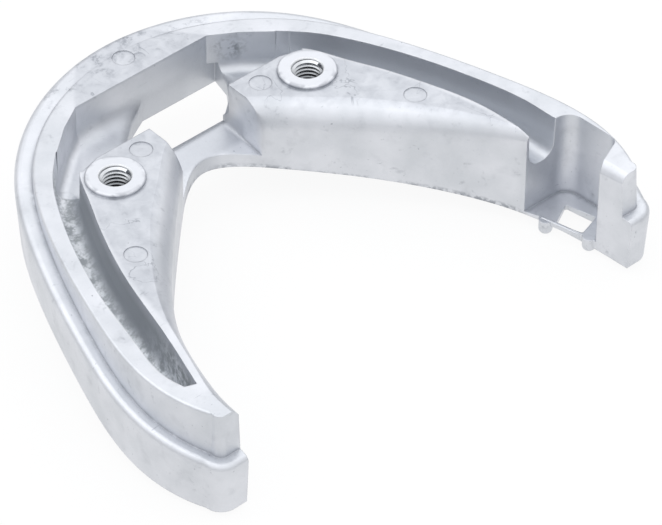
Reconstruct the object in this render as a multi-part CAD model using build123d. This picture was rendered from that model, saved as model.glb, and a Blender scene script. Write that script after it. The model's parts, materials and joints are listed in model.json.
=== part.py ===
"""Sacrificial anode for a marine drive, one aluminium die casting.

A horseshoe rim with a raised ridge runs round the outside. Two crescent blocks stand inside it and
carry the two tapped holes that bolt the anode up. A channel runs between ridge and blocks. The bend
has a web with a window through it, and the right arm ends in an open pocket with a pierced floor.

Millimetres. The origin is midway between the tapped holes, on the seats that meet the drive.
+X points to the arm with the pocket, +Y to the bend and +Z out of the holes.
"""
import os
from math import cos, radians, sin, tan

from build123d import *

# Bolting to the drive
bolt_spacing = 80.4
boss_diameter = 19.5
boss_height = 1.2
thread_diameter = 10.0
thread_depth = 20.0
mouth_diameter = 10.8
boss_chamfer = 0.4
drill_point_angle = 118.0

# Heights below the seats
top_z = -boss_height
ledge_slope = 0.108
ledge_start_y = 44.0
ledge_blend = 120.0
channel_depth = 14.7
web_top_depth = 16.8
web_top_slope = 0.146
pocket_depth = 32.3
thread_r = thread_diameter / 2

# Plan of the right half, from the bend to the tip
bend_y = 54.2
tip_y = -111.6
outer_points = [(0, bend_y), (31, 47.4), (59.3, 27.4), (78.9, -5.4), (92.0, -42.3), (98.8, -80)]
tip_points = [(93.4, -103.5), (91.2, -108.3), (85.6, -111.0)]
inner_points = [
    (0, 4.7), (9.5, 1.0), (20, -8.1), (46.5, -35.1), (62.8, -55), (71.3, -69.5), (77.8, -91), (80.3, tip_y)
]
ridge_inset = 6.2
riser_draft = 3.0
outer_draft = 3.5

# Side profile of the underside, from behind the bend to beyond the tips
base_points = [
    (70, -20.4), (31.7, -22.7), (6.7, -24.8), (-13.3, -26.4), (-27.3, -28), (-57.3, -32.8), (-83.3, -35.8),
    (-125, -36.6),
]

# Rounding
rim_radius = 2.2
ridge_radius = 0.9
riser_radius = 1.2
lip_radius = 2.5
tip_radius = 2.0

# Bend: straight wall, window and the end faces of the blocks
chord_y = 35.2
block_end_x = 16.6
block_back_y = 11.5
window_near_y = 14.4
window_corner = 2.0
window_points = [
    (31, chord_y), (29.6, 27.7), (23.6, 19.4), (17.5, window_near_y), (-15.5, window_near_y),
    (-17.5, 20.5), (-14.2, 25.8), (-7.8, 31.2), (0, chord_y),
]

# Channel: corners of the bend part, then stations down the arm as (ridge side, block side)
bend_corners = [(0, chord_y), (27.4, chord_y), (36.5, 29.7), (49.3, 19.2), (46.2, 9.2), (38.2, block_back_y)]
channel_shared = [
    ((46.0, 22.3), (43.5, 10.6)),
    ((53.6, 14.6), (49.2, 5.9)),
    ((59.6, 6.2), (52.6, -1.6)),
    ((66.8, -7.3), (56.8, -10.3)),
    ((74.3, -25.3), (63.9, -26.9)),
    ((79.6, -41.8), (69.2, -42.8)),
]
channel_to_pocket = [((83.2, -58.5), (71.7, -58.2)), ((84.3, -71.5), (72.6, -71.5))]
channel_to_blind = [
    ((83.4, -58.5), (73.6, -59.8)), ((86.6, -72), (77.2, -72.6)),
    ((87.2, -80.5), (80.0, -81.5)), ((85.9, -87.2), (82.2, -88.6)),
]
channel_draft = 2.0
channel_corner = 4.9
bend_corner = 4.0

# Roll on the inner top edge: place along the inner wall, width and height of the roll
roll_overlap = 1.0
roll_stations = [
    (0.54, 9.5, 12), (0.60, 11, 12), (0.66, 12.5, 12), (0.72, 11.5, 11), (0.78, 9, 9.5), (0.83, 6, 8),
    (0.87, 3.6, 6.2), (0.91, 4.2, 6), (0.95, 6.2, 6.5), (1.0, 6, 6.5),
]

# Pocket in the right arm
pocket_face_y = -70.0
pocket_points = [(60, pocket_face_y), (90.0, pocket_face_y), (91.4, -90.4), (76, -97.0), (60, -103.5)]
pocket_back_radius = 6.0
pocket_end_radius = 3.4
pocket_draft = 2.5
pierce_points = [(83.9, -76.4), (87.0, -87.4), (78.5, -90.0), (75.2, -80.9)]
pierce_radius = 0.8
nub_places = [(74.4, -77.2), (79.1, -92.5)]
nub_diameter = 4.6
nub_bottom = -38.8
nub_round = 1.7

# Marks of the ejector pins
mark_diameter = 7.5
mark_depth = 0.35
mark_places = [(25.0, 5.5), (-25.0, 5.5), (58.4, -31.7), (-58.4, -31.7), (0, 44.2)]

clear = 3.0
deep = 60.0


def mirrored(points):
    """The same points on the other side of the plane of symmetry, in the other order."""
    return [(-x, y) for x, y in reversed(points)]


def inset(points, distance):
    """A right half from bend to tip, moved inwards by a distance at each of its points."""
    chain = mirrored(points[1:2]) + points + [(0, tip_y)]
    moved = []
    for before, (x, y), after in zip(chain, chain[1:], chain[2:]):
        run = (Vector(*after) - Vector(*before)).normalized()
        moved.append((x + distance * run.Y, y - distance * run.X))
    return moved


def filled_plan(points):
    """The plan inside an outer outline, given as a right half, and closed across the tips."""
    side = points[:-2]
    tip = points[-3:]
    run = Spline(*mirrored(side[1:]), *side)
    across = Line(tip[-1], (-tip[-1][0], tip[-1][1]))
    return make_face([run, ThreePointArc(*tip), across, ThreePointArc(*mirrored(tip))])


def drafted(points, draft):
    """A solid below a plan on the flat top, whose walls lean by the draft as they go down."""
    lower = inset(points, deep * tan(radians(draft)))
    return loft([Pos(0, 0, top_z) * filled_plan(points), Pos(0, 0, top_z - deep) * filled_plan(lower)])


def inner_wall():
    """Plan of the wall between the arms, from the left tip round to the right one."""
    return Spline(*mirrored(inner_points[1:]), *inner_points)


def opening():
    """The space between the arms, run on beyond the tips and above the top."""
    corner = inner_points[-1]
    beyond = (corner[0], tip_y - clear)
    rest = Polyline(corner, beyond, (-beyond[0], beyond[1]), (-corner[0], corner[1]))
    return extrude(Pos(0, 0, top_z + clear) * make_face([inner_wall(), rest]), -deep)


def across_arms(edges):
    """A closed side profile, run the whole width of the casting."""
    return extrude(Plane.YZ * make_face(edges), outer_points[-1][0] + clear, both=True)


def above_base(top):
    """Everything between the underside and a top line in side view."""
    front, back = base_points[-1], base_points[0]
    ends = [Line(back, (back[0], top_z)), Line(front, top @ 1)]
    return across_arms([top, Spline(*base_points)] + ends)


def ledge_line():
    """Side view of the ledge, level with the top at the bend and then falling to the tips."""
    front = base_points[-1][0]
    low = top_z - ledge_slope * (ledge_start_y - front)
    return FilletPolyline((base_points[0][0], top_z), (ledge_start_y, top_z), (front, low), radius=ledge_blend)


def top_line():
    """Side view of the flat top of ridge and blocks."""
    return Line((base_points[0][0], top_z), (base_points[-1][0], top_z))


def rim():
    """The casting under the ledge, filled across the opening, with its outer edge rounded."""
    solid = drafted(outer_points + tip_points, outer_draft) & above_base(ledge_line())
    upper = [edge for edge in solid.edges() if edge.center().Z > ledge_floor(edge.center().Y)]
    return fillet([edge for edge in upper if abs(edge.center().X) > 1 or edge.center().Y > chord_y], rim_radius)


def ledge_floor(y):
    """A height that lies between the ledge and the underside at this place."""
    return top_z - ledge_slope * max(ledge_start_y - y, 0) - 4


def ridge():
    """The casting under the flat top, inside the ledge, with its outer top edge rounded."""
    plan = inset(outer_points + tip_points, ridge_inset)
    solid = drafted(plan, -riser_draft) & above_base(top_line())
    upper = solid.edges().filter_by_position(Axis.Z, top_z - 1, top_z + 1)
    return fillet([edge for edge in upper if edge.center().Y > tip_points[0][1] + ridge_inset], ridge_radius)


def u_section(ridge_side, block_side):
    """The channel at one station, square to its run, open above the top."""
    across = Vector(*ridge_side) - Vector(*block_side)
    middle = Vector(*block_side) + across / 2
    station = Plane((middle.X, middle.Y, top_z), x_dir=across, z_dir=across.cross(Vector(0, 0, 1)))
    lean = tan(radians(channel_draft))
    upper = across.length / 2 + clear * lean
    lower = across.length / 2 - channel_depth * lean
    walls = FilletPolyline(
        (-upper, clear), (-lower, -channel_depth), (lower, -channel_depth), (upper, clear),
        radius=min(channel_corner, 0.9 * lower),
    )
    return station * make_face([walls, Line((upper, clear), (-upper, clear))])


def channel_bend():
    """Right half of the channel round the bend, with rounded lower corners."""
    outline = make_face(Polyline(*bend_corners, (0, block_back_y), close=True))
    solid = extrude(Pos(0, 0, top_z + clear) * outline, -channel_depth - clear)
    floor = solid.faces().sort_by(Axis.Z)[0]
    sides = [edge for edge in floor.edges() if edge.center().X > 1]
    return fillet([edge for edge in sides if edge.center().Y < chord_y + 1], bend_corner)


def channel(end_stations):
    """Right half of the channel, from the bend to where it ends in the arm."""
    return channel_bend() + loft([u_section(*station) for station in channel_shared + end_stations])


def front_clearing():
    """The space above the web between the end faces of the blocks."""
    near = inner_points[0][1] - 5 * clear
    drop = web_top_slope * (window_near_y - near)
    top = top_z - web_top_depth
    outline = Polyline(
        (window_near_y, top), (window_near_y, clear), (near, clear), (near, top - drop), close=True
    )
    return extrude(Plane.YZ * make_face(outline), block_end_x, both=True)


def window():
    """The window through the web behind the blocks."""
    outline = make_face(Polyline(*window_points, close=True))
    corners = [corner for corner in outline.vertices() if corner.Y < chord_y - 1]
    return extrude(Pos(0, 0, top_z - channel_depth + clear) * fillet(corners, window_corner), -deep)


def roll_section(along, width, height):
    """The corner cut away above the roll, square to the inner wall at one place."""
    wall = inner_wall()
    place, run = wall @ along, wall % along
    station = Plane((place.X, place.Y, top_z), x_dir=(-run.Y, run.X, 0), z_dir=run)
    curve = Bezier((width, roll_overlap), (0, 0), (-roll_overlap, -height))
    rest = Polyline(
        (-roll_overlap, -height), (-clear, -height), (-clear, clear), (width, clear), (width, roll_overlap)
    )
    return station * make_face([curve, rest])


def roll():
    """The roll along the inner top edge of the right arm."""
    return loft([roll_section(*station) for station in roll_stations])


def pocket():
    """The open pocket in the right arm, down to its floor."""
    outline = make_face(Polyline(*pocket_points, close=True))
    outline = fillet(outline.vertices().sort_by_distance(Vector(*pocket_points[1]))[0], pocket_back_radius)
    outline = fillet(outline.vertices().sort_by_distance(Vector(*pocket_points[2]))[0], pocket_end_radius)
    return extrude(Pos(0, 0, top_z) * outline, -pocket_depth) + extrude(Pos(0, 0, top_z) * outline, clear)


def pierced_window():
    """The small window through the pocket floor."""
    outline = make_face(Polyline(*pierce_points, close=True))
    return extrude(Pos(0, 0, top_z - pocket_depth + clear) * fillet(outline.vertices(), pierce_radius), -deep)


def nub(place):
    """A round pin under the pocket, with a domed end."""
    pin = Pos(*place, nub_bottom) * extrude(Circle(nub_diameter / 2), top_z - pocket_depth - nub_bottom)
    return fillet(pin.edges().sort_by(Axis.Z)[0], nub_round)


def boss(side):
    """The raised seat round one tapped hole."""
    seat = Pos(side * bolt_spacing / 2, 0, top_z - clear) * extrude(Circle(boss_diameter / 2), clear - top_z)
    return chamfer(seat.edges().sort_by(Axis.Z)[-1], boss_chamfer)


def tapped_hole(side):
    """A blind bore with a countersunk mouth and the cone the drill leaves."""
    mouth_r = mouth_diameter / 2
    cone = thread_r / tan(radians(drill_point_angle / 2))
    mouth = mouth_r - thread_r
    profile = Polyline(
        (0, clear), (mouth_r + clear, clear), (thread_r, -mouth), (thread_r, -thread_depth),
        (0, -thread_depth - cone), close=True,
    )
    return Pos(side * bolt_spacing / 2, 0, 0) * revolve(Plane.XZ * make_face(profile), Axis.Z)


def ejector_marks():
    """The shallow round marks left by the ejector pins."""
    disc = Pos(0, 0, top_z + clear) * extrude(Circle(mark_diameter / 2), -mark_depth - clear)
    return [Pos(*place, 0) * disc for place in mark_places]


def anode_casting():
    """The whole casting, as one solid."""
    solid = rim() + ridge() - opening()
    solid = solid - channel(channel_to_pocket) - mirror(channel(channel_to_blind), Plane.YZ)
    solid = solid - front_clearing() - window()
    solid = solid - roll() - mirror(roll(), Plane.YZ)
    solid = solid - pocket() - pierced_window()
    for place in nub_places:
        solid = solid + nub(place)
    for side in (-1, 1):
        solid = solid + boss(side) - tapped_hole(side)
    for mark in ejector_marks():
        solid = solid - mark
    return solid


os.makedirs("parts", exist_ok=True)
export_step(anode_casting(), "parts/anode_casting.step")
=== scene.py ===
"""Sacrificial anode casting: its cast skin, cut threads, pocket rail and a plain studio."""
import json
from math import pi, radians

import bmesh
import bpy
from mathutils import Matrix, Vector


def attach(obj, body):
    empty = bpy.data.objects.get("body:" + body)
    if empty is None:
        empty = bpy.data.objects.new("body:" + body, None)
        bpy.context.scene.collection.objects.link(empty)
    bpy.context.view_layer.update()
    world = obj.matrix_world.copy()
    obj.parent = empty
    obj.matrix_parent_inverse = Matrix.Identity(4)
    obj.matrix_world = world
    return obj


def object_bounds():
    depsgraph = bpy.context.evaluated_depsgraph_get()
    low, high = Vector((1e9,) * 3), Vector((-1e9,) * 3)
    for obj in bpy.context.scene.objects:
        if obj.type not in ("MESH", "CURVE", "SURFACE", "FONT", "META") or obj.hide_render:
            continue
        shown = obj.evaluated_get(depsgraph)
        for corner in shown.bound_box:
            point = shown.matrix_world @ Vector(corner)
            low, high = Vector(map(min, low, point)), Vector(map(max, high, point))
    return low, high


bl_info = {
    "name": "Sacrificial anode casting",
    "version": (1, 0, 0),
    "blender": (4, 5, 0),
    "location": "View3D > Sidebar > Anode",
    "description": "Dresses the anode casting and sets up its studio",
    "category": "Object",
}

MM = 0.001
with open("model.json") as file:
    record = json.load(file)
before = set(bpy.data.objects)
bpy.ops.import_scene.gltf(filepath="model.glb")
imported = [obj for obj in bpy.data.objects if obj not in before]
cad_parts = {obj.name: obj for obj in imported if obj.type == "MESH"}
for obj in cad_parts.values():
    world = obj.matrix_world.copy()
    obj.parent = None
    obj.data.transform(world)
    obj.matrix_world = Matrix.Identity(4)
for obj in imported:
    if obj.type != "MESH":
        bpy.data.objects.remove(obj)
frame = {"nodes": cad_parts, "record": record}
CAD_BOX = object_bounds()
CASTING = frame["nodes"]["anode_casting"]
MOUNTS = {mount["name"]: mount for mount in frame["record"]["mounts"]}
BOLT_X = MOUNTS["thread_right"]["pos_m"][0]
FLOOR_Z = CAD_BOX[0][2]

# The two ends of the rail's middle line, along the open side of the pocket.
RAIL = ((73.9 * MM, -75.5 * MM, -34.2 * MM), (78.0 * MM, -89.5 * MM, -34.8 * MM))
RAIL_ROUNDING = 0.3  # share of the rail's width
RAIL_ROUNDING_STEPS = 3

# Half the width of the thread's ridge at its crest and its root, as shares of the pitch.
CREST_HALF, ROOT_HALF = 0.07, 0.44
THREAD_START = 0.45 * MM  # depth of the chamfered mouth above the first ridge
STEPS_IN_TURN = 48
BORE_MOUTH, BORE_DARK = -1 * MM, -7 * MM  # the heights between which painted shade darkens the thread

# The middle line of the channel in either arm, in metres:
# |x| = CHANNEL_X + CHANNEL_SLOPE * y + CHANNEL_BOW * y * y.
CHANNEL_X, CHANNEL_SLOPE, CHANNEL_BOW = 57.35 * MM, -0.542, -3.45
# The way that an arm runs from the bend to its tip: outwards, and along y.
ARM_RUN = (0.75, -0.66)
# The wall between the left channel and the arm's inner side: its middle lies
# WALL_START + WALL_SLOPE * y inside the channel's middle line.
WALL_START, WALL_SLOPE = 21 * MM, 0.24
# The lower edge of the inner side, where the halves of the die met:
# z = FOOT_HEIGHT + FOOT_SLOPE * y.
FOOT_HEIGHT, FOOT_SLOPE = -25.5 * MM, 0.13
# The corner where the right channel meets the bend, stained and darkened with painted shade.
BEND_CORNER = (34 * MM, 31.5 * MM, -6.5 * MM)

# Each place on the casting is a product of fades. A fade is a measure from casting_measures, then
# the value in mm where its share is 0, and the value in mm where its share is 1.
PLACES = {
    "left_channel": (
        ("off_line", 8, 6.8), ("z", -1.5, -6), ("x", 0, -1), ("along_arm", 25.1, 25.6),
        ("y", -91, -89), ("past_wall", -0.3, 0.3)),
    "right_channel": (
        ("off_line", 8, 6.8), ("z", -1.5, -6), ("x", 0, 1), ("along_arm", 8, 26), ("y", -71, -69)),
    "right_bend": (("z", -1.5, -6), ("x", -12, 32), ("y", 12, 15), ("y", 41, 38)),
    "bend_corner": (("z", -1.5, -6), ("from_corner", 7, 1)),
    "bend_top": (("y", 36, 46), ("z", -2, -1.3)),
    "web": (("across", 21, 17), ("y", 3, 5), ("z", -10, -14)),
    "block_side": (("aside", -1, -4.5),),
    "block_top": (("aside", -5.5, -7), ("z", -2.6, -1.3), ("z", -0.5, -1)),
    "parting_line": (("above_foot", 2.2, 0.8), ("aside", -6, -8), ("y", 5, 2)),
    "roll_foot": (("aside", -7, -9), ("z", -4, -7), ("z", -20, -16)),
    "seat": (("from_bolt", 9.9, 9.7), ("z", -0.9, -0.4)),
    "boss_rim": (("from_bolt", 8.1, 9.4), ("from_bolt", 10.6, 9.9), ("z", -1.6, -1)),
    "bore": (("from_bolt", 5.7, 5.5),),
    "bore_deep": (("from_bolt", 5.7, 5.5), ("z", -1, -4)),
}

# The noise behind each kind of mark: the size of its patches, its detail and how far it is twisted.
# The grain of a real cast skin is finer, and is drawn this coarse so that it shows.
MARKS = {
    "cloud": (16 * MM, 5.0, 0.0),
    "blotch": (5 * MM, 6.0, 0.6),
    "grain": (0.9 * MM, 5.0, 0.0),
    "speck": (1.6 * MM, 6.0, 0.0),
    "smudge": (7 * MM, 5.0, 0.2),
    "crust": (3 * MM, 6.0, 0.0),
    "lap": (22 * MM, 4.0, 0.8),
}
# Scratches are noise that is turned and then squeezed, which draws it out in one direction.
SCRATCH_TURN, SCRATCH_SQUEEZE = (0.3, 0.2, 0.7), (1.0, 9.0, 9.0)
SCRATCH_LOOK = (9 * MM, 3.0, 0.0)
# The lines that a tap leaves are finer too, and are drawn this coarse so that they show.
TOOL_LINES_LOOK = (0.4 * MM, 2.0, 0.0)
CORNER_SAMPLES = 6  # of the nodes that feel for corners and edges

# The roughness of the skin, and what grain, soot and the tap add to it.
SKIN_ROUGH, GRAIN_ROUGH, SOOT_ROUGH, CUT_ROUGH = 0.34, 0.2, 0.22, -0.22
# The roughness of the cut thread, and what its tool lines add.
THREAD_ROUGH, TOOL_LINES_ROUGH = 0.08, 0.3
# The depth of pits in the skin, what the sooty channel adds to it, and the depth of ragged flash.
SKIN_PITS, SOOT_PITS, FLASH_RELIEF = 0.3, 1.6, 2.0
RELIEF_STRENGTH = 0.3

# The camera stands where the photograph was taken, as fitted to the casting's corners.
CAMERA_PLACE = (-0.767748, -0.910943, 1.001230)
CAMERA_TURN, CAMERA_TIP, CAMERA_ROLL = radians(-41.954), radians(41.706), radians(0.449)
CAMERA_LENS, CAMERA_SENSOR = 266.02, 36  # mm
CAMERA_REACH = 20  # m

WHITE = (1, 1, 1, 1)
FLOOR_HALF = 6  # m
FLOOR_WHITE = 0.9  # how far the floor is plain white to the camera; the rest keeps the shadow
# The lamps: name, place, width and share of the key lamp's power. All of them face one point.
LAMPS = (
    ("key_lamp", (-0.5, 0.7, 1.4), 1.6, 1.0),
    ("fill_lamp", (0.9, 0.3, 1.1), 1.2, 0.45),
    ("top_lamp", (-0.1, -0.1, 1.5), 1.4, 0.4),
)
LAMPS_FACE = (0, -0.03, 0)
# The sky is dimmer low down: the height of the direction, and the brightness there.
SKY_LOW, SKY_HIGH = (-0.1, 0.4), (0.6, 1.12)


def linear(hex_colour):
    """A linear RGBA colour from an sRGB hex value."""
    channels = [int(hex_colour[i:i + 2], 16) / 255 for i in (1, 3, 5)]
    return [c / 12.92 if c <= 0.04045 else ((c + 0.055) / 1.055) ** 2.4 for c in channels] + [1.0]


def add_node(tree, kind, inputs=None, **settings):
    """Adds a node with its settings, values and links. A link is given as a socket."""
    node = tree.nodes.new(kind)
    for name, value in settings.items():
        setattr(node, name, value)
    for name, value in (inputs or {}).items():
        if isinstance(value, bpy.types.NodeSocket):
            tree.links.new(value, node.inputs[name])
        else:
            node.inputs[name].default_value = value
    return node


def new_material(name):
    """An empty node material, its tree and its output node."""
    material = bpy.data.materials.new(name)
    material.use_nodes = True
    material.node_tree.nodes.clear()
    return material, material.node_tree, add_node(material.node_tree, "ShaderNodeOutputMaterial")


def new_object(name, bm, material):
    """Makes a bmesh an object of the scene and frees the bmesh."""
    mesh = bpy.data.meshes.new(name)
    bm.to_mesh(mesh)
    bm.free()
    mesh.materials.append(material)
    result = bpy.data.objects.new(name, mesh)
    bpy.context.scene.collection.objects.link(result)
    return result


def new_piece(name, bm, material):
    """Makes a closed bmesh a piece that rides on the casting, with its faces outwards."""
    bmesh.ops.recalc_face_normals(bm, faces=bm.faces)
    piece = new_object(name, bm, material)
    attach(piece, "root")


def maths(tree, operation, *values):
    """The result of one Math node on sockets and numbers."""
    return add_node(tree, "ShaderNodeMath", dict(enumerate(values)), operation=operation).outputs[0]


def fade(tree, value, empty, full):
    """A share that is 0 where the value is at empty and 1 where it is at full."""
    inputs = {"Value": value, "From Min": empty, "From Max": full, "To Min": 0.0, "To Max": 1.0}
    return add_node(tree, "ShaderNodeMapRange", inputs).outputs["Result"]


def noise(tree, where, size, detail, twist):
    """Cloudy noise whose patches are about the given size."""
    inputs = {"Vector": where, "Scale": 1 / size, "Detail": detail, "Distortion": twist}
    return add_node(tree, "ShaderNodeTexNoise", inputs).outputs["Fac"]


def blend(tree, share, under, over):
    """One colour laid over another by a share."""
    inputs = {"Factor": share, "A": under, "B": over}
    return add_node(tree, "ShaderNodeMix", inputs, data_type="RGBA").outputs["Result"]


def product(tree, *shares):
    """Shares multiplied together."""
    result = shares[0]
    for share in shares[1:]:
        result = maths(tree, "MULTIPLY", result, share)
    return result


def casting_measures(tree, where):
    """Distances that say where a point of the casting lies."""
    axes = add_node(tree, "ShaderNodeSeparateXYZ", {0: where}).outputs
    x, y, z = axes["X"], axes["Y"], axes["Z"]
    across = maths(tree, "ABSOLUTE", x)
    bow = maths(tree, "MULTIPLY_ADD", y, CHANNEL_BOW, CHANNEL_SLOPE)
    aside = maths(tree, "SUBTRACT", across, maths(tree, "MULTIPLY_ADD", y, bow, CHANNEL_X))
    past_bolt = maths(tree, "POWER", maths(tree, "SUBTRACT", across, BOLT_X), 2.0)
    corner = add_node(
        tree, "ShaderNodeVectorMath", {0: where, 1: BEND_CORNER}, operation="DISTANCE")
    return {
        "x": x,
        "y": y,
        "z": z,
        "across": across,
        "aside": aside,
        "off_line": maths(tree, "ABSOLUTE", aside),
        "along_arm": maths(
            tree, "MULTIPLY_ADD", y, ARM_RUN[1], maths(tree, "MULTIPLY", across, ARM_RUN[0])),
        "past_wall": maths(
            tree, "MULTIPLY_ADD", y, WALL_SLOPE, maths(tree, "ADD", aside, WALL_START)),
        "above_foot": maths(
            tree, "SUBTRACT", z, maths(tree, "MULTIPLY_ADD", y, FOOT_SLOPE, FOOT_HEIGHT)),
        "from_bolt": maths(tree, "SQRT", maths(tree, "MULTIPLY_ADD", y, y, past_bolt)),
        "from_corner": corner.outputs["Value"],
    }


def casting_places(tree, where):
    """A share for each place on the casting, which is 1 inside it and 0 outside."""
    measures = casting_measures(tree, where)
    places = {}
    for name, limits in PLACES.items():
        fades = [
            fade(tree, measures[measure], empty * MM, full * MM)
            for measure, empty, full in limits]
        places[name] = product(tree, *fades)
    return places


def casting_skin(settings):
    """Die-cast aluminium, as cast: a pale satin skin, sooty in the channels, scuffed on top, with
    painted shade in its corners, hollows and bores.
    """
    material, tree, output = new_material("as_cast_aluminium")
    where = add_node(tree, "ShaderNodeTexCoord").outputs["Object"]
    places = casting_places(tree, where)
    marks = {name: noise(tree, where, *look) for name, look in MARKS.items()}
    streaks = add_node(tree, "ShaderNodeMapping", {
        "Vector": where, "Rotation": SCRATCH_TURN, "Scale": SCRATCH_SQUEEZE})
    marks["scratch"] = noise(tree, streaks.outputs["Vector"], *SCRATCH_LOOK)

    def patches(mark, empty, full):
        return fade(tree, marks[mark], empty, full)

    dark = linear(settings.skin_dark)
    handled_and_shade = linear(settings.handled_and_shade_colour)
    half_handled = maths(tree, "MULTIPLY_ADD", patches("blotch", 0.4, 0.62), 0.5, 0.5)
    # How open each point is: the corners below get painted shade from it.
    openness = add_node(tree, "ShaderNodeAmbientOcclusion", {
        "Distance": settings.corner_shade_reach}, samples=CORNER_SAMPLES, only_local=True).outputs["AO"]
    from_lap = maths(tree, "ABSOLUTE", maths(tree, "SUBTRACT", marks["lap"], 0.5))
    crust = maths(tree, "ADD", marks["crust"], maths(tree, "MULTIPLY", marks["grain"], 0.6))
    soot_and_shade = blend(
        tree, fade(tree, crust, 0.68, 0.92), linear(settings.soot_dark), linear(settings.soot_pale))
    # On the block's side of the left channel the soot gives way to painted shade, where the ridge
    # shadows the wall.
    soot_and_shade = blend(tree, places["block_side"], soot_and_shade, linear(settings.shaded_side))
    dull_and_shaded = maths(tree, "MAXIMUM", places["right_channel"], places["right_bend"])

    colour = blend(
        tree, patches("cloud", 0.38, 0.66), linear(settings.skin_pale), linear(settings.skin_grey))
    # What lies on the skin, from the bottom up: its colour, then the shares and the strength that
    # are multiplied to say how much of it shows.
    for over, *shares in (
            # The tops of the blocks, greyed by handling.
            (handled_and_shade, places["block_top"], half_handled),
            # Smears, dots and faint smudges all over.
            (dark, patches("blotch", 0.6, 0.74), patches("speck", 0.46, 0.62), 0.35),
            (dark, patches("speck", 0.71, 0.75), 0.6),
            (dark, patches("smudge", 0.57, 0.72), 0.16),
            # Painted shade in the corners, broken into patches, then scratches, and laps where the
            # metal folded as it filled the die.
            (dark, fade(tree, openness, 0.8, 0.45), patches("blotch", 0.25, 0.45), 0.75),
            (dark, patches("scratch", 0.7, 0.76), 0.35),
            (dark, fade(tree, from_lap, 0.006, 0.001), patches("cloud", 0.5, 0.56),
             places["block_top"], 0.6),
            # Scuffs on top of the bend, then painted shade that greys the web, and the seats of the
            # bosses.
            (dark, places["bend_top"], patches("blotch", 0.5, 0.62),
             patches("grain", 0.4, 0.6), 0.6),
            (handled_and_shade, places["web"], 0.8),
            (linear(settings.seat_colour), places["seat"], 0.65),
            # Worn rims of the bosses, and ragged flash where the halves of the die met.
            (dark, places["boss_rim"], patches("blotch", 0.45, 0.6), 0.5),
            (dark, places["parting_line"], patches("speck", 0.42, 0.56),
             patches("cloud", 0.4, 0.5), 0.75),
            # The rough sooty channel of one arm, with painted shade on its block side, and the
            # smooth dull one of the other, darkened partly with painted shade deep in it.
            (soot_and_shade, places["left_channel"]),
            (linear(settings.channel_grey), dull_and_shaded, 0.9),
            # A stain in the corner of the bend, darkened further with painted shade.
            (linear(settings.stain_and_shade_colour), places["bend_corner"], patches("blotch", 0.38, 0.56),
             patches("speck", 0.4, 0.6), 0.85),
            # The bores, cut bright at the mouth, with painted shade further in.
            (linear(settings.cut_colour), places["bore"]),
            (linear(settings.bore_shade), places["bore_deep"], 0.85)):
        colour = blend(tree, product(tree, *shares), colour, over)

    rough = maths(tree, "MULTIPLY_ADD", marks["grain"], GRAIN_ROUGH, SKIN_ROUGH)
    rough = maths(tree, "MULTIPLY_ADD", places["left_channel"], SOOT_ROUGH, rough)
    rough = maths(tree, "MULTIPLY_ADD", places["bore"], CUT_ROUGH, rough)
    pits = maths(tree, "MULTIPLY_ADD", places["left_channel"], SOOT_PITS, SKIN_PITS)
    relief = maths(tree, "MULTIPLY_ADD", marks["speck"], pits, marks["grain"])
    ragged = maths(tree, "MULTIPLY", marks["blotch"], places["parting_line"])
    relief = maths(tree, "MULTIPLY_ADD", ragged, FLASH_RELIEF, relief)
    rounding = maths(
        tree, "MULTIPLY_ADD", places["roll_foot"], settings.foot_round, settings.edge_round)
    edge = add_node(tree, "ShaderNodeBevel", {"Radius": rounding}, samples=CORNER_SAMPLES)
    bump = add_node(tree, "ShaderNodeBump", {
        "Height": relief, "Strength": RELIEF_STRENGTH, "Distance": settings.relief_depth,
        "Normal": edge.outputs["Normal"]})
    shader = add_node(tree, "ShaderNodeBsdfPrincipled", {
        "Base Color": colour, "Metallic": 1.0, "Roughness": rough,
        "Normal": bump.outputs["Normal"]})
    tree.links.new(shader.outputs["BSDF"], output.inputs["Surface"])
    return material


def cut_thread(settings):
    """Aluminium cut by a tap: bright and smooth, with fine tool lines, and painted shade deep in
    the bore.
    """
    material, tree, output = new_material("tapped_aluminium")
    where = add_node(tree, "ShaderNodeTexCoord").outputs["Object"]
    height = add_node(tree, "ShaderNodeSeparateXYZ", {0: where}).outputs["Z"]
    # Painted shade darkens the cut metal from the mouth of the bore inwards.
    colour = blend(
        tree, fade(tree, height, BORE_MOUTH, BORE_DARK),
        linear(settings.cut_colour), linear(settings.bore_depth_shade))
    tool_lines = noise(tree, where, *TOOL_LINES_LOOK)
    rough = maths(tree, "MULTIPLY_ADD", tool_lines, TOOL_LINES_ROUGH, THREAD_ROUGH)
    shader = add_node(tree, "ShaderNodeBsdfPrincipled", {
        "Base Color": colour, "Metallic": 1.0, "Roughness": rough})
    tree.links.new(shader.outputs["BSDF"], output.inputs["Surface"])
    return material


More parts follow.
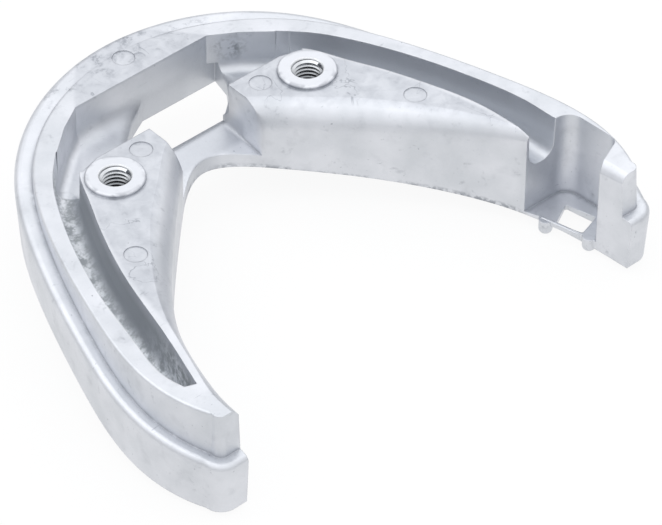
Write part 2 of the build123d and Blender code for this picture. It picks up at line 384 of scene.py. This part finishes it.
class CastingSettings(bpy.types.PropertyGroup):
    """Sizes and colours of the casting."""

    skin_pale: bpy.props.StringProperty(
        name="Pale skin", description="sRGB hex of the bright cast skin", default="#DEE0E5")
    skin_grey: bpy.props.StringProperty(
        name="Grey skin", description="sRGB hex of the greyer patches", default="#D1D4D9")
    # The dark specks' colour is also that of the painted shade in the corners.
    skin_dark: bpy.props.StringProperty(
        name="Dark specks", description="sRGB hex of specks, grime and scuffs", default="#8C9098")
    # Also used as painted shade that greys the bright web.
    handled_and_shade_colour: bpy.props.StringProperty(
        name="Handled tops", description="sRGB hex of the greyer tops of the blocks",
        default="#C2C5CB")
    seat_colour: bpy.props.StringProperty(
        name="Seats", description="sRGB hex of the flat seats round the holes", default="#E0E2E7")
    soot_pale: bpy.props.StringProperty(
        name="Pale soot", description="sRGB hex of the rough channel where it is pale",
        default="#F0F2F5")
    soot_dark: bpy.props.StringProperty(
        name="Dark soot", description="sRGB hex of the rough channel where it is dark",
        default="#B4B8BC")
    # Painted shade on the block's side of the left channel, which the ridge shadows.
    shaded_side: bpy.props.StringProperty(
        name="Channel side", description="sRGB hex of the dull side of the left channel",
        default="#B6BABF")
    # Partly the duller tone of the right channel and the bend, partly painted shade deep in them.
    channel_grey: bpy.props.StringProperty(
        name="Channel", description="sRGB hex of the smooth channel in the right arm",
        default="#D0D3D8")
    # Partly a real stain, partly painted shade in the corner of the bend.
    stain_and_shade_colour: bpy.props.StringProperty(
        name="Stain", description="sRGB hex of the dark stain in the corner of the bend",
        default="#6E7277")
    cut_colour: bpy.props.StringProperty(
        name="Cut metal", description="sRGB hex of freshly cut metal", default="#D8DADD")
    # Painted shade in the bore between the threads.
    bore_shade: bpy.props.StringProperty(
        name="Bore", description="sRGB hex of the bore between the threads", default="#46494D")
    # Painted shade on the thread deep in the bore.
    bore_depth_shade: bpy.props.StringProperty(
        name="Deep thread", description="sRGB hex of the thread deep in the bore",
        default="#8E9195")
    edge_round: bpy.props.FloatProperty(
        name="Edge rounding", description="How far a cast edge is rounded to the eye",
        default=0.5 * MM, min=0.0, max=2 * MM, subtype="DISTANCE", unit="LENGTH", precision=5)
    foot_round: bpy.props.FloatProperty(
        name="Foot rounding", description="How much wider the foot of the rolled edge is rounded",
        default=7 * MM, min=0.0, max=10 * MM, subtype="DISTANCE", unit="LENGTH", precision=5)
    # How far the painted shade reaches out of a corner.
    corner_shade_reach: bpy.props.FloatProperty(
        name="Grime", description="How far grime reaches out of a corner",
        default=2.5 * MM, min=0.1 * MM, max=10 * MM, subtype="DISTANCE", unit="LENGTH", precision=5)
    relief_depth: bpy.props.FloatProperty(
        name="Skin relief", description="How deep the grain and pits of the skin go",
        default=0.12 * MM, min=0.0, max=1 * MM, subtype="DISTANCE", unit="LENGTH", precision=5)
    rail_width: bpy.props.FloatProperty(
        name="Rail width", description="Width of the rail along the pocket",
        default=1.3 * MM, min=0.5 * MM, max=3 * MM, subtype="DISTANCE", unit="LENGTH", precision=5)
    rail_height: bpy.props.FloatProperty(
        name="Rail height", description="Height of the rail along the pocket",
        default=1.9 * MM, min=0.5 * MM, max=4 * MM, subtype="DISTANCE", unit="LENGTH", precision=5)
    thread_pitch: bpy.props.FloatProperty(
        name="Thread pitch", description="Rise of the thread in one turn",
        default=1.5 * MM, min=0.5 * MM, max=3 * MM, subtype="DISTANCE", unit="LENGTH", precision=5)
    thread_height: bpy.props.FloatProperty(
        name="Thread height", description="How far the crest stands into the bore",
        default=0.81 * MM, min=0.2 * MM, max=2 * MM, subtype="DISTANCE", unit="LENGTH", precision=5)


class StudioSettings(bpy.types.PropertyGroup):
    """The floor, the sky and the lamps."""

    floor_colour: bpy.props.StringProperty(
        name="Floor", description="sRGB hex of the floor", default="#F4F4F4")
    sky_colour: bpy.props.StringProperty(
        name="Sky colour", description="sRGB hex of the soft light all round", default="#FCFDFF")
    sky_strength: bpy.props.FloatProperty(
        name="Sky", description="Strength of the soft light all round",
        default=1.04, min=0.0, max=3.0)
    key_power: bpy.props.FloatProperty(
        name="Key lamp", description="Power of the largest lamp",
        default=3.0, min=0.0, max=500.0, subtype="POWER", unit="POWER")


class ANODE_OT_cast_skin(bpy.types.Operator):
    """Gives the casting its as-cast skin"""

    bl_idname = "anode.cast_skin"
    bl_label = "Cast skin"

    def execute(self, context):
        skin = casting_skin(context.scene.anode_casting)
        CASTING.data.materials.clear()
        CASTING.data.materials.append(skin)
        return {"FINISHED"}


class ANODE_OT_threads(bpy.types.Operator):
    """Cuts the thread into both bosses as a helical ridge in each bore"""

    bl_idname = "anode.threads"
    bl_label = "Threads"

    def execute(self, context):
        settings = context.scene.anode_casting
        material = cut_thread(settings)
        pitch = settings.thread_pitch
        for side in ("left", "right"):
            mount = MOUNTS["thread_" + side]
            x, y, _ = mount["pos_m"]
            root = mount["dims"]["r_mm"] * MM
            crest = root - settings.thread_height
            turns = int(mount["dims"]["length_mm"] * MM / pitch) - 1
            start_z = -THREAD_START - pitch / 2
            ridge = (
                (root, ROOT_HALF), (crest, CREST_HALF), (crest, -CREST_HALF), (root, -ROOT_HALF))
            bm = bmesh.new()
            profile = bm.faces.new([
                bm.verts.new((x + radius, y, start_z + rise * pitch)) for radius, rise in ridge])
            bmesh.ops.spin(
                bm, geom=[profile], cent=(x, y, 0), axis=(0, 0, 1),
                dvec=(0, 0, -pitch / STEPS_IN_TURN), angle=2 * pi * turns,
                steps=STEPS_IN_TURN * turns, use_duplicate=False)
            new_piece("thread_" + side, bm, material)
        return {"FINISHED"}


class ANODE_OT_pocket_rail(bpy.types.Operator):
    """Casts the thin rail that closes the pierced floor of the pocket along its inner side"""

    bl_idname = "anode.pocket_rail"
    bl_label = "Pocket rail"

    def execute(self, context):
        settings = context.scene.anode_casting
        start, finish = Vector(RAIL[0]), Vector(RAIL[1])
        run = finish - start
        size = (run.length, settings.rail_width, settings.rail_height, 1)
        place = (
            Matrix.Translation((start + finish) / 2)
            @ run.to_track_quat("X", "Z").to_matrix().to_4x4() @ Matrix.Diagonal(size))
        bm = bmesh.new()
        bmesh.ops.create_cube(bm, size=1, matrix=place)
        bmesh.ops.bevel(
            bm, geom=bm.edges[:], offset=settings.rail_width * RAIL_ROUNDING,
            segments=RAIL_ROUNDING_STEPS, profile=0.5, affect="EDGES", material=-1)
        new_piece("pocket_rail", bm, CASTING.data.materials[0])
        return {"FINISHED"}


class ANODE_OT_studio(bpy.types.Operator):
    """Sets up the camera, the floor, the lamps and the world"""

    bl_idname = "anode.studio"
    bl_label = "Studio"

    def execute(self, context):
        scene = context.scene
        studio = scene.anode_studio
        self.camera(scene)
        self.floor(studio)
        self.lamps(scene, studio)
        self.world(scene, studio)
        scene.view_settings.view_transform = "Standard"
        return {"FINISHED"}

    def camera(self, scene):
        """A long lens at the photograph's viewing angle."""
        lens = bpy.data.cameras.new("camera")
        lens.lens = CAMERA_LENS
        lens.sensor_width = CAMERA_SENSOR
        lens.clip_end = CAMERA_REACH
        camera = bpy.data.objects.new("camera", lens)
        camera.matrix_world = (
            Matrix.Translation(CAMERA_PLACE) @ Matrix.Rotation(CAMERA_TURN, 4, "Z")
            @ Matrix.Rotation(pi / 2 - CAMERA_TIP, 4, "X") @ Matrix.Rotation(CAMERA_ROLL, 4, "Z"))
        scene.collection.objects.link(camera)
        scene.camera = camera

    def floor(self, studio):
        """A matt floor that looks white to the camera, to gloss and through glass."""
        material, tree, output = new_material("matt_white_floor")
        path = add_node(tree, "ShaderNodeLightPath").outputs
        seen = maths(tree, "MAXIMUM", path["Is Camera Ray"], path["Is Transmission Ray"])
        seen = maths(tree, "MAXIMUM", seen, path["Is Glossy Ray"])
        matt = add_node(tree, "ShaderNodeBsdfDiffuse", {"Color": linear(studio.floor_colour)})
        white = add_node(tree, "ShaderNodeEmission", {"Color": WHITE, "Strength": 1.0})
        mix = add_node(tree, "ShaderNodeMixShader", {
            0: maths(tree, "MULTIPLY", seen, FLOOR_WHITE), 1: matt.outputs[0], 2: white.outputs[0]})
        tree.links.new(mix.outputs[0], output.inputs["Surface"])
        bm = bmesh.new()
        bmesh.ops.create_grid(
            bm, x_segments=1, y_segments=1, size=FLOOR_HALF,
            matrix=Matrix.Translation((0, 0, FLOOR_Z)))
        floor = new_object("floor", bm, material)

    def lamps(self, scene, studio):
        """Wide round lamps overhead, which face the casting."""
        for name, place, width, share in LAMPS:
            lamp = bpy.data.lights.new(name, "AREA")
            lamp.shape = "DISK"
            lamp.size = width
            lamp.energy = studio.key_power * share
            holder = bpy.data.objects.new(name, lamp)
            aim = Vector(LAMPS_FACE) - Vector(place)
            holder.matrix_world = (
                Matrix.Translation(place) @ aim.to_track_quat("-Z", "Y").to_matrix().to_4x4())
            scene.collection.objects.link(holder)

    def world(self, scene, studio):
        """A soft sky that is brighter overhead, and plain white to the camera."""
        world = bpy.data.worlds.new("studio_white")
        world.use_nodes = True
        tree = world.node_tree
        tree.nodes.clear()
        path = add_node(tree, "ShaderNodeLightPath").outputs
        direction = add_node(tree, "ShaderNodeTexCoord").outputs["Generated"]
        height = add_node(tree, "ShaderNodeSeparateXYZ", {0: direction}).outputs["Z"]
        glow = add_node(tree, "ShaderNodeMapRange", {
            "Value": height, "From Min": SKY_LOW[0], "From Max": SKY_HIGH[0],
            "To Min": SKY_LOW[1], "To Max": SKY_HIGH[1]}).outputs["Result"]
        light = add_node(tree, "ShaderNodeBackground", {
            "Color": linear(studio.sky_colour),
            "Strength": maths(tree, "MULTIPLY", glow, studio.sky_strength)})
        white = add_node(tree, "ShaderNodeBackground", {"Color": WHITE, "Strength": 1.0})
        mix = add_node(tree, "ShaderNodeMixShader", {
            0: path["Is Camera Ray"], 1: light.outputs[0], 2: white.outputs[0]})
        add_node(tree, "ShaderNodeOutputWorld", {"Surface": mix.outputs[0]})
        scene.world = world


class ANODE_PT_panel(bpy.types.Panel):
    """Lists the anode's operators and settings"""

    bl_idname = "ANODE_PT_panel"
    bl_label = "Anode casting"
    bl_space_type = "VIEW_3D"
    bl_region_type = "UI"
    bl_category = "Anode"

    def draw(self, context):
        for settings in (context.scene.anode_casting, context.scene.anode_studio):
            for name in settings.__annotations__:
                self.layout.prop(settings, name)
        for operator in OPERATORS:
            self.layout.operator(operator.bl_idname)


OPERATORS = (ANODE_OT_cast_skin, ANODE_OT_threads, ANODE_OT_pocket_rail, ANODE_OT_studio)
CLASSES = (CastingSettings, StudioSettings) + OPERATORS + (ANODE_PT_panel,)


def register():
    for cls in CLASSES:
        bpy.utils.register_class(cls)
    bpy.types.Scene.anode_casting = bpy.props.PointerProperty(type=CastingSettings)
    bpy.types.Scene.anode_studio = bpy.props.PointerProperty(type=StudioSettings)


def unregister():
    del bpy.types.Scene.anode_studio
    del bpy.types.Scene.anode_casting
    for cls in reversed(CLASSES):
        bpy.utils.unregister_class(cls)


def main():
    register()
    bpy.ops.anode.cast_skin()
    bpy.ops.anode.threads()
    bpy.ops.anode.pocket_rail()
    bpy.ops.anode.studio()


if __name__ == "__main__":
    main()
